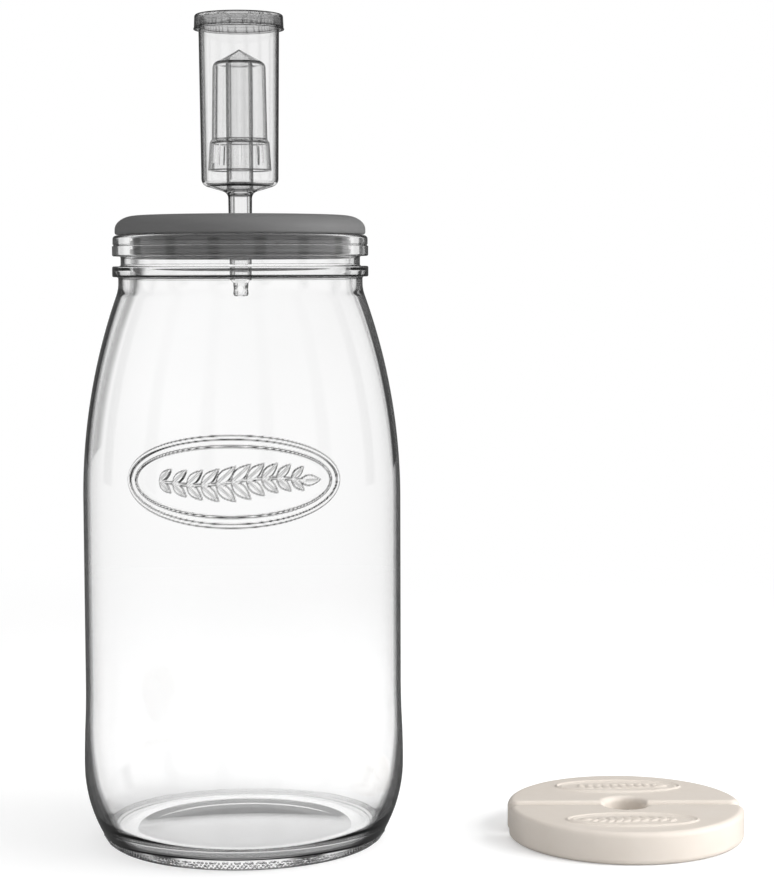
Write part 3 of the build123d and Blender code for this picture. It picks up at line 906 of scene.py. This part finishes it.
class JAR_OT_glass_jar(bpy.types.Operator):
    """Make the glass jar with its raised oval and sprig"""

    bl_idname = "jar.glass_jar"
    bl_label = "Glass jar"

    def execute(self, context):
        s = context.scene.jar_sizes
        body, step = body_radius(s), RELIEF_GRID / 2
        bead = s.shoulder_start + s.shoulder_rise + s.neck_height
        angles, kept = graded_angles((OVAL_HALF_WIDTH + EMBLEM_MARGIN) / body, RELIEF_GRID / body)

        def emblem_rows(radius, z):
            """Which rows the emblem stands on."""
            half = OVAL_HALF_HEIGHT + EMBLEM_MARGIN
            return is_outer(s, radius, z) & (np.abs(z - s.emblem_height) < half)

        def stand_out(radius, turn, z):
            """The emblem on the outer wall, which stands out no further than the heel's bulge."""
            across, up, near = emblem_places(s, radius, turn, z)
            return np.where(near, emblem(across, up) * s.emblem_relief, 0.0)

        def emblem_and_bead_painted_shade(radius, turn, z):
            """Painted shade along both sides of the emblem's raised lines, and along the rounded
            edges of the bead.
            """
            across, up, near = emblem_places(s, radius, turn, z)
            shares, u, v = np.zeros(len(z)), across[near], up[near]
            climb_across = emblem(u + step, v) - emblem(u - step, v)
            climb_up = emblem(u, v + step) - emblem(u, v - step)
            shares[near] = np.clip(np.hypot(climb_across, climb_up) / FULL_CLIMB, 0, 1)
            on_bead = is_outer(s, radius, z) & (radius > s.neck_radius + s.root)
            shares[on_bead & (np.abs(z - bead) < BEAD_LOWER_REACH * s.edge)] = 1.0
            top = np.abs(z - bead - s.bead_height) < BEAD_UPPER_REACH * s.edge
            shares[on_bead & top] = BEAD_UPPER_SHARE
            return shares

        piece = turned(
            "jar", jar_outline(s), angles, stand_out=stand_out, kept=kept, fine_rows=emblem_rows
        )
        # Stores where the glass gets painted shade.
        store_painted_shade(piece, emblem_and_bead_painted_shade)
        stands_for(piece, "glass_jar", "jar", "jar_glass", soda_lime_glass())
        return {"FINISHED"}


class JAR_OT_foot_stippling(bpy.types.Operator):
    """Set the knurls that the mould leaves round the jar's heel"""

    bl_idname = "jar.foot_stippling"
    bl_label = "Foot stippling"

    def execute(self, context):
        s = context.scene.jar_sizes
        name = "jar_foot_stippling"
        piece = new_object(name, bpy.data.meshes.new(name))
        values = {
            "Count": s.stipple_count,
            "Rows": STIPPLE_ROWS,
            "Foot Radius": float(side_radius(s, STIPPLE_HEIGHT, STIPPLE_SINK, s.neck_radius)),
            "Foot Height": STIPPLE_HEIGHT,
            "Row Step Out": STIPPLE_STEP_OUT,
            "Row Step Up": STIPPLE_STEP_UP,
            "Dome Radius": s.stipple_size,
            "Seed": STIPPLE_SEED,
            "Material": bpy.data.materials["soda_lime_glass_pressed"],
        }
        grow(piece, stipple_tree(), values)
        stands_for(piece, None, "jar", "jar_glass")
        return {"FINISHED"}


def nub_length(a):
    """The length of the stem's closed tip, from the heights of the body's ends."""
    whole = a.chamber_top - a.nub_bottom
    return whole - a.chamber_height - a.cone_rise - a.stem_length - a.nub_shoulder


def stem_radius(a, z):
    """The radius of the airlock's tapered stem at a height."""
    stem_end = a.nub_bottom + nub_length(a) + a.nub_shoulder
    return on_line((a.stem_root, stem_end + a.stem_length), (a.stem_end, stem_end), z)


FLANGE_ROWS, RIB_COUNT = 15, 2


def lid_outline(s, a):
    """The lid's outline from the stem's hole under the plug, over its ribs and round the flange."""
    seat, side_top = s.top - s.flange, s.top - s.corner_height
    plug_inner, pocket_top = s.plug_radius - s.plug_wall, s.bottom + s.pocket
    corners = [
        (stem_radius(a, s.top) + s.hole_clearance, s.top, s.rib_edge / 2),
        (stem_radius(a, s.bottom) + s.hole_clearance, s.bottom, s.rib_edge / 2),
        (s.boss_radius, s.bottom, s.rib_edge),
        (s.boss_radius, pocket_top, s.pocket_corner),
        (plug_inner, pocket_top, s.pocket_corner),
        (plug_inner, s.bottom, s.rib_edge),
        (s.plug_radius, s.bottom, s.rib_edge),
    ]
    for k in range(RIB_COUNT):
        low = s.bottom + (k + 1) * s.rib_spacing - s.rib_height
        high = low + s.rib_height
        corners += [(s.plug_radius, low), (s.rib_radius, low, s.rib_edge)]
        corners += [(s.rib_radius, high, s.rib_edge), (s.plug_radius, high)]
    corners += [(s.plug_radius, seat, s.rib_edge / 2), (s.flange_radius, seat, s.lower_edge)]
    for t in np.linspace(0, math.pi / 2, FLANGE_ROWS):
        radius = s.flange_radius - s.corner_width * (1 - math.cos(t))
        corners.append((radius, side_top + s.corner_height * math.sin(t)))
    return rounded(corners, closed=True)


class JAR_OT_silicone_lid(bpy.types.Operator):
    """Make the grey silicone lid with its sealing ribs and its hole for the stem"""

    bl_idname = "jar.silicone_lid"
    bl_label = "Silicone lid"

    def execute(self, context):
        s, a = context.scene.lid_sizes, context.scene.airlock_sizes
        piece = turned("lid", lid_outline(s, a), even_angles(LID_SIDES), closed=True)
        stands_for(piece, "silicone_lid", "lid", "lid_silicone", moulded_silicone(s.colour))
        return {"FINISHED"}


# Multiples of a moulded edge, of the tip's diameter and of the walls that the openings cut, and the
# reaches of painted shade along the moulded edges.
RISER_ROOT_EDGE, EDGE_REACH, CAP_EDGE_START = 4, 1.2, 0.95
DRILL_REACH, WINDOW_REACH, VENT_REACH = 0.8, 8, 3
GAS_HOLES, SHOULDER_REACH, CAP_TOP_REACH = 4, 0.7 * MM, 0.6 * MM


def openings_in_ring(count, ring_radius, middle, box, turn=(0.0, 0.0, 0.0)):
    """The inputs of a tree that cuts a ring of equal openings: how many, the radius and height of
    their middles, and the size and turn of what cuts them."""
    return {
        "Count": count,
        "Ring Radius": ring_radius,
        "Height": middle,
        "Cutter Size": box,
        "Cutter Turn": turn,
    }


def moulding(names, corners, plastic, cutter, openings, rows=()):
    """Turns one of the airlock's mouldings, cuts its ring of openings, stores painted shade at the
    points within a reach of each row's height and outside its radius, and puts it in its node's
    place."""
    piece = turned(names[0], rounded(corners), even_angles(AIRLOCK_SIDES))
    grow(piece, cutter, {**openings, "Material": plastic})

    def painted_shade_at_rows(radius, turn, z):
        """The moulded edges that get painted shade."""
        near = [(radius > least) & (np.abs(z - row) < reach) for row, reach, least in rows]
        return np.any(near, axis=0)

    if rows:
        store_painted_shade(piece, painted_shade_at_rows)
    stands_for(piece, *names[1:], "clear_plastic", plastic)


def airlock_corners(a):
    """The airlock body's corners from its tip up the outside, into the chamber, up the riser and
    down the bore."""
    edge, nub_top = a.moulded_edge, a.nub_bottom + nub_length(a)
    stem_end = nub_top + a.nub_shoulder
    root = stem_end + a.stem_length
    corner = root + a.cone_rise
    riser_top = root + a.riser_height
    foot_inner, riser_bore = a.chamber_foot - a.chamber_wall, a.riser_radius - a.riser_wall
    stem_bore, nub_bore = a.stem_end - a.stem_wall, a.nub_radius - a.stem_wall
    slope = a.cone_rise / (a.chamber_foot - a.stem_root)
    at_riser = root + a.chamber_wall + (a.riser_radius - a.stem_root) * slope
    at_wall = root + a.chamber_wall + (foot_inner - a.stem_root) * slope
    bead_top, bead_out = a.chamber_top - a.bead_drop, a.chamber_radius + a.bead_depth
    bead_low = bead_top - a.bead_height
    side = (a.chamber_foot, corner), (a.chamber_radius, a.chamber_top)
    return [
        (0.0, a.nub_bottom),
        (a.nub_radius, a.nub_bottom, a.nub_end),
        (a.nub_radius, nub_top, edge),
        (a.stem_end, stem_end, edge),
        (a.stem_root, root, a.stem_fillet),
        (a.chamber_foot, corner, a.chamber_corner),
        (on_line(*side, bead_low), bead_low, edge / 2),
        (bead_out, bead_low, edge / 2),
        (bead_out, bead_top, edge / 2),
        (on_line(*side, bead_top), bead_top, edge / 2),
        (a.chamber_radius, a.chamber_top, edge),
        (a.chamber_radius - a.chamber_wall, a.chamber_top, edge),
        (foot_inner, at_wall, a.chamber_corner - a.chamber_wall),
        (a.riser_radius, at_riser, RISER_ROOT_EDGE * edge),
        (a.riser_radius, riser_top, edge),
        (riser_bore, riser_top, edge),
        (riser_bore, at_riser + a.riser_wall, edge),
        (stem_bore, root, edge),
        (stem_bore, stem_end, edge),
        (nub_bore, nub_top, edge),
        (nub_bore, a.nub_bottom + a.nub_end_wall, edge),
        (0.0, a.nub_bottom + a.nub_end_wall),
    ]


class JAR_OT_airlock_body(bpy.types.Operator):
    """Make the clear airlock body and drill the gas holes in its tip"""

    bl_idname = "jar.airlock_body"
    bl_label = "Airlock body"

    def execute(self, context):
        a = context.scene.airlock_sizes
        plastic = clear_polystyrene("clear_polystyrene_moulded", "FAFAFA")
        middle = a.nub_bottom + (nub_length(a) + a.nub_end_wall) / 2
        box = (2 * a.gas_hole, 2 * a.gas_hole, 2 * DRILL_REACH * a.nub_radius)
        sideways = (0.0, math.pi / 2, 0.0)
        holes = openings_in_ring(GAS_HOLES, a.nub_radius, middle, box, sideways)
        names = ("airlock_chamber", "airlock_body", "airlock")
        moulding(names, airlock_corners(a), plastic, cut_ring_tree("Gas holes", "drill"), holes)
        return {"FINISHED"}


class JAR_OT_airlock_float(bpy.types.Operator):
    """Make the bell-shaped float and cut the windows in its skirt"""

    bl_idname = "jar.airlock_float"
    bl_label = "Airlock float"

    def execute(self, context):
        a = context.scene.airlock_sizes
        edge, wall = a.moulded_edge, a.float_wall
        shoulder, skirt = a.float_top - a.float_cone, a.float_bottom + a.skirt_height
        step, slope = skirt + a.skirt_step, a.float_cone / a.float_shoulder
        down = wall * math.hypot(slope, 1.0)
        corners = [
            (0.0, a.float_top),
            (2 * edge, a.float_top - 2 * edge * slope),
            (a.float_shoulder, shoulder, a.float_shoulder_edge),
            (a.float_waist, step, edge),
            (a.skirt_top, skirt, 2 * edge),
            (a.skirt_foot, a.float_bottom, edge),
            (a.skirt_foot - wall, a.float_bottom, edge),
            (a.skirt_top - wall, skirt - wall / 2, 2 * edge),
            (a.float_waist - wall, step - wall / 2, edge),
            (a.float_shoulder - wall, shoulder - down + wall * slope, a.float_shoulder_edge / 2),
            (2 * edge, a.float_top - down - 2 * edge * slope),
            (0.0, a.float_top - down),
        ]
        plastic = bpy.data.materials["clear_polystyrene_moulded"]
        middle = a.float_bottom + a.window_sill + a.window_height / 2
        box = (WINDOW_REACH * wall, a.window_width, a.window_height)
        windows = openings_in_ring(a.window_count, a.skirt_top, middle, box)
        reach, waist = EDGE_REACH * edge, a.float_waist
        # Where the float gets painted shade along its moulded edges.
        rows = [
            (step, reach, waist - wall / 2),
            (skirt, reach, waist),
            (a.float_bottom, reach, waist),
            (shoulder, SHOULDER_REACH, a.float_shoulder - wall / 2),
        ]
        names = ("airlock_bell", "airlock_float", "float")
        moulding(names, corners, plastic, cut_ring_tree("Skirt windows", "box"), windows, rows)
        return {"FINISHED"}


class JAR_OT_airlock_cap(bpy.types.Operator):
    """Make the dust cap and drill its ring of vents"""

    bl_idname = "jar.airlock_cap"
    bl_label = "Dust cap"

    def execute(self, context):
        a = context.scene.airlock_sizes
        edge, lip_top = a.moulded_edge, a.cap_bottom + a.cap_lip_height
        corners = [
            (0.0, a.cap_top),
            (a.cap_edge_radius, a.cap_top, a.cap_edge),
            (a.cap_side, lip_top, edge),
            (a.cap_lip, a.cap_bottom, edge),
            (a.cap_inner, a.cap_bottom, edge),
            (a.cap_inner, a.cap_top - a.cap_wall, edge),
            (0.0, a.cap_top - a.cap_wall),
        ]
        plastic = clear_polystyrene("clear_polystyrene_cap_moulded", "D4D4D4")
        middle = a.cap_top - a.cap_wall / 2
        box = (2 * a.vent_radius, 2 * a.vent_radius, VENT_REACH * a.cap_wall)
        vents = openings_in_ring(a.vent_count, a.vent_circle, middle, box)
        reach = EDGE_REACH * edge
        # Where the cap gets painted shade along its moulded edges.
        rows = [
            (lip_top, reach, a.cap_inner),
            (a.cap_bottom, reach, a.cap_lip - edge),
            (a.cap_top, CAP_TOP_REACH, a.cap_edge_radius - CAP_EDGE_START * a.cap_edge),
        ]
        names = ("airlock_dust_cap", "airlock_cap", "dust_cap")
        moulding(names, corners, plastic, cut_ring_tree("Cap vents", "drill"), vents, rows)
        return {"FINISHED"}


# The weights: points along their outline, the rings of their rounded edge and the grids inside it.
STRAIGHT_POINTS, CORNER_STEPS, ROUND_STEPS, NOTCH_CORNER_STEPS, NOTCH_STEPS = 30, 12, 150, 8, 36
EDGE_RINGS, RING_SLACK = np.radians([15, 30, 45, 60, 75, 90]), 0.01 * MM
GRID_ROW, MERGE_REACH = 0.866, 1e-7
TOP_GRID, UNDER_GRID, WEIGHT_EMBLEM = 0.55 * MM, 3.0 * MM, 0.6


def half_disc_outline(s):
    """The corners of a half disc with its straight side on X and a half-round notch, in order."""
    out = math.sqrt((s.radius - s.corner) ** 2 - s.corner**2)
    near = math.sqrt((s.hole + s.hole_corner) ** 2 - s.hole_corner**2)
    lean = math.degrees(math.atan2(s.corner, out))
    notch = math.degrees(math.atan2(s.hole_corner, near))
    points = [(x, 0.0) for x in np.linspace(near, out, STRAIGHT_POINTS)]
    points += arc((out, s.corner), s.corner, -90, lean, CORNER_STEPS)[1:]
    points += arc((0, 0), s.radius, lean, 180 - lean, ROUND_STEPS)[1:]
    points += arc((-out, s.corner), s.corner, 180 - lean, 270, CORNER_STEPS)[1:]
    points += [(x, 0.0) for x in np.linspace(-out, -near, STRAIGHT_POINTS)[1:]]
    points += arc((-near, s.hole_corner), s.hole_corner, -90, notch, NOTCH_CORNER_STEPS)[1:]
    points += arc((0, 0), s.hole, 180 - notch, notch, NOTCH_STEPS)[1:]
    points += arc((near, s.hole_corner), s.hole_corner, 180 + notch, 270, NOTCH_CORNER_STEPS)[1:-1]
    return np.array(points)


def distance_inside(points, outline):
    """How far each point lies from a closed outline."""
    nearest = np.full(len(points), np.inf)
    for a, b in zip(outline, np.roll(outline, -1, axis=0)):
        side = b - a
        t = np.clip(((points - a) @ side) / (side @ side), 0, 1)
        gap = points - a - t[:, None] * side
        nearest = np.minimum(nearest, np.hypot(gap[:, 0], gap[:, 1]))
    return nearest


def cushion_face(s, outline, spacing):
    """Points and triangles over the half disc, with rows that follow its rounded edge, and each
    point's distance from the outline."""
    side = np.roll(outline, -1, axis=0) - np.roll(outline, 1, axis=0)
    side /= np.linalg.norm(side, axis=1)[:, None]
    inward = np.stack([-side[:, 1], side[:, 0]], axis=1)
    rings = []
    for depth in s.edge * (1 - np.cos(EDGE_RINGS)):
        ring = outline + inward * depth
        rings.append(ring[distance_inside(ring, outline) > depth - RING_SLACK])
    y = np.arange(0, s.radius, spacing * GRID_ROW)
    gx, gy = np.meshgrid(np.arange(-s.radius, s.radius, spacing), y)
    gx = gx + (np.arange(len(y)) % 2)[:, None] * spacing / 2
    grid, margin = np.stack([gx.ravel(), gy.ravel()], axis=1), s.edge + spacing / 2
    reach = np.hypot(*grid.T)
    grid = grid[(grid[:, 1] > margin) & (reach < s.radius - margin) & (reach > s.hole + margin)]
    grid = grid[distance_inside(grid, outline) > margin]
    points = np.concatenate([outline, *rings, grid])
    border = [(k, (k + 1) % len(outline)) for k in range(len(outline))]
    found = delaunay_2d_cdt([Vector(p) for p in points], border, [], 1, MERGE_REACH)
    made = np.array([tuple(p) for p in found[0]])
    return made, found[2], distance_inside(made, outline)


def weight_mesh(s, name):
    """One half-disc weight about the disc's middle, reaching to +Y, with the emblem on its top."""
    outline = half_disc_outline(s)
    points, faces, starts = [], [], []
    for is_top, spacing in ((True, TOP_GRID), (False, UNDER_GRID)):
        plan, triangles, depth = cushion_face(s, outline, spacing)
        rise = s.edge - np.sqrt(np.clip(s.edge**2 - np.clip(s.edge - depth, 0, None) ** 2, 0, None))
        if is_top:
            relief = emblem(plan[:, 0], plan[:, 1] - s.emblem_reach, WEIGHT_EMBLEM)
            rise = s.thickness - rise + relief * s.emblem_relief * (depth > s.edge)
        starts.append(len(points))
        for face in triangles:
            corners = [starts[-1] + k for k in face]
            faces.append(corners if is_top else corners[::-1])
        points += [(x, y, z) for (x, y), z in zip(plan.tolist(), rise.tolist())]
    top, under = starts
    for k in range(len(outline)):
        after = (k + 1) % len(outline)
        faces.append((under + k, under + after, top + after, top + k))
    return solid(name, points, faces)


class JAR_OT_weights(bpy.types.Operator):
    """Make the two half-disc ceramic weights"""

    bl_idname = "jar.weights"
    bl_label = "Ceramic weights"

    def execute(self, context):
        s = context.scene.weight_sizes
        glaze = glazed_stoneware(s.glaze, s.glaze_thin)
        low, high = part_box("weight_rear")
        middle = (low[0] + high[0]) / 2
        for node, body, side, turn in (
            ("weight_rear", "weight_back", 1, 0.0),
            ("weight_front", "weight_near", -1, math.pi),
        ):
            piece = weight_mesh(s, node + "_glazed")
            place = Matrix.Translation((middle, side * s.gap / 2, 0))
            piece.data.transform(place @ Matrix.Rotation(turn, 4, "Z"))
            stands_for(piece, node, body, "glazed_ceramic", glaze)
        return {"FINISHED"}


# Stage.

SCREEN_COUNT, SCREEN_GAP, CEILING, ROOM, AMBIENT = 8, 0.08, 0.45, 0.12, 0.45
SCREEN_EDGE, CEILING_EDGE = (-0.95, -0.45), (0.18, 0.5)
PAPER_NEAR, PAPER_FAR, PAPER_LIFT, PAPER_COLOUR = 0.3, 0.9, 0.3, "E6E6E6"
CAMERA_PITCH, CAMERA_ROLL, CAMERA_LENS, IMAGE_SENSOR = 0.08028, -0.002822, 88.59, 36.0
CLIP_START, CLIP_END, MAX_BOUNCES, LAMP_TARGET = 0.01, 20.0, 24, (0.05, 0.0, 0.16)
# Each lamp's place, its power in watts, and its width and height in metres.
LAMPS = {
    "key": ((1.3, -0.35, 0.7), 27.0, 1.4, 1.2),
    "fill": ((-1.2, -0.5, 0.5), 3.5, 0.8, 0.8),
    "top": ((0.2, 0.1, 1.4), 4.0, 1.0, 1.0),
}


def screens_round_the_set(tree):
    """How bright the set is in each direction, as glass shows it: tall white screens that fade to
    grey gaps between them, under a greyer ceiling."""
    way = add(tree, "ShaderNodeTexCoord", output="Generated")
    part = add(tree, "ShaderNodeSeparateXYZ", {0: way}).node.outputs
    azimuth = maths(tree, "ARCTAN2", part["Y"], part["X"])
    wave = maths(tree, "COSINE", maths(tree, "MULTIPLY", azimuth, SCREEN_COUNT))
    screens = ranged(tree, wave, *SCREEN_EDGE, SCREEN_GAP, 1.0)
    return maths(tree, "MULTIPLY", screens, ranged(tree, part["Z"], *CEILING_EDGE, 1.0, CEILING))


def as_seen(tree, by_eye, through_glass, mirrored, otherwise):
    """What a ray meets: one shader for the camera, one for a ray that comes through glass, one for
    a mirrored ray and one for all others."""
    path, shader = add(tree, "ShaderNodeLightPath").node.outputs, otherwise
    shown = {
        "Is Glossy Ray": mirrored,
        "Is Transmission Ray": through_glass,
        "Is Camera Ray": by_eye,
    }
    for kind, seen in shown.items():
        shader = add(tree, "ShaderNodeMixShader", {0: path[kind], 1: shader, 2: seen})
    return shader


def shining(tree, kind, colour, strengths):
    """A background or an emission of one colour at each strength."""
    tint = tuple(colour)
    return [add(tree, kind, {"Color": tint, "Strength": strength}) for strength in strengths]


def studio_world(white):
    """White to the camera, the set's screens through glass, the unlit room in a mirrored ray, and
    a plain soft light on everything else."""
    world = bpy.data.worlds.new("studio")
    world.use_nodes = True
    tree = world.node_tree
    tree.nodes.clear()
    strengths = (1.0, screens_round_the_set(tree), ROOM, AMBIENT)
    shown = as_seen(tree, *shining(tree, "ShaderNodeBackground", white, strengths))
    add(tree, "ShaderNodeOutputWorld", {"Surface": shown}, is_active_output=True)
    bpy.context.scene.world = world


def floor_paper(white):
    """Smooth white paper that shows the object's shadow near by and is plain white far off."""
    material, tree, out = new_material("studio_paper_white")
    far = ranged(tree, length_of(tree, object_place(tree)), PAPER_NEAR, PAPER_FAR)
    paper = add(tree, "ShaderNodeBsdfDiffuse", {"Color": linear(PAPER_COLOUR)})
    lift, plain, room = shining(tree, "ShaderNodeEmission", white, (PAPER_LIFT, 1.0, ROOM))
    near = add(tree, "ShaderNodeAddShader", {0: paper, 1: lift})
    shown = add(tree, "ShaderNodeMixShader", {0: far, 1: near, 2: plain})
    tree.links.new(as_seen(tree, shown, shown, room, paper), out.inputs["Surface"])
    return material


def lamp(name, place, power, width, tall):
    """A soft rectangular lamp aimed at the set, which leaves no image of itself in the glass."""
    data = bpy.data.lights.new(name, "AREA")
    data.shape = "RECTANGLE"
    data.energy, data.size, data.size_y = power, width, tall
    piece = new_object(name, data)
    piece.location = place
    piece.rotation_euler = (Vector(LAMP_TARGET) - Vector(place)).to_track_quat("-Z", "Y").to_euler()
    piece.visible_glossy = piece.visible_transmission = False


class JAR_OT_stage(bpy.types.Operator):
    """Set the camera, the soft lamps and the white paper floor"""

    bl_idname = "jar.stage"
    bl_label = "Stage"

    def execute(self, context):
        s, scene = context.scene.stage_sizes, context.scene
        data = bpy.data.cameras.new("camera")
        data.lens, data.sensor_width = CAMERA_LENS, IMAGE_SENSOR
        data.clip_start, data.clip_end = CLIP_START, CLIP_END
        scene.camera = new_object("camera", data)
        scene.camera.matrix_world = (
            Matrix.Translation((s.camera_side, -s.camera_distance, s.camera_height))
            @ Matrix.Rotation(math.pi / 2 - CAMERA_PITCH, 4, "X")
            @ Matrix.Rotation(CAMERA_ROLL, 4, "Z")
        )

        mesh = bpy.data.meshes.new("floor")
        turns = even_angles(FLOOR_SIDES)
        rim = [(s.floor_radius * math.cos(t), s.floor_radius * math.sin(t), 0.0) for t in turns]
        mesh.from_pydata(rim, [], [tuple(range(len(rim)))])
        mesh.materials.append(floor_paper(s.background))
        new_object("floor", mesh)

        studio_world(s.background)
        for name, settings in LAMPS.items():
            lamp(name, *settings)
        scene.view_settings.view_transform = "Standard"
        scene.cycles.max_bounces = scene.cycles.transmission_bounces = MAX_BOUNCES
        return {"FINISHED"}


STEPS = (
    JAR_OT_stage,
    JAR_OT_glass_jar,
    JAR_OT_foot_stippling,
    JAR_OT_silicone_lid,
    JAR_OT_airlock_body,
    JAR_OT_airlock_float,
    JAR_OT_airlock_cap,
    JAR_OT_weights,
)
SIZES = {
    "jar_sizes": JarSizes,
    "lid_sizes": LidSizes,
    "airlock_sizes": AirlockSizes,
    "weight_sizes": WeightSizes,
    "stage_sizes": StageSizes,
}


class JAR_PT_sidebar(bpy.types.Panel):
    """The jar's pieces and their sizes"""

    bl_idname = "JAR_PT_sidebar"
    bl_label = "Fermentation jar"
    bl_space_type = "VIEW_3D"
    bl_region_type = "UI"
    bl_category = "Jar"

    def draw(self, context):
        for step in STEPS:
            self.layout.operator(step.bl_idname)
        for name in SIZES:
            box = self.layout.box()
            box.label(text=name.replace("_", " ").capitalize())
            group = getattr(context.scene, name)
            for key in group.bl_rna.properties.keys():
                if key not in ("rna_type", "name"):
                    box.prop(group, key)


def register():
    for name, group in SIZES.items():
        bpy.utils.register_class(group)
        setattr(bpy.types.Scene, name, PointerProperty(type=group))
    for kind in (*STEPS, JAR_PT_sidebar):
        bpy.utils.register_class(kind)


def unregister():
    for kind in reversed((*STEPS, JAR_PT_sidebar)):
        bpy.utils.unregister_class(kind)
    for name, group in reversed(SIZES.items()):
        delattr(bpy.types.Scene, name)
        bpy.utils.unregister_class(group)


def main():
    """Makes the stage and every piece."""
    register()
    for step in STEPS:
        group, action = step.bl_idname.split(".")
        getattr(getattr(bpy.ops, group), action)()


if __name__ == "__main__":
    main()
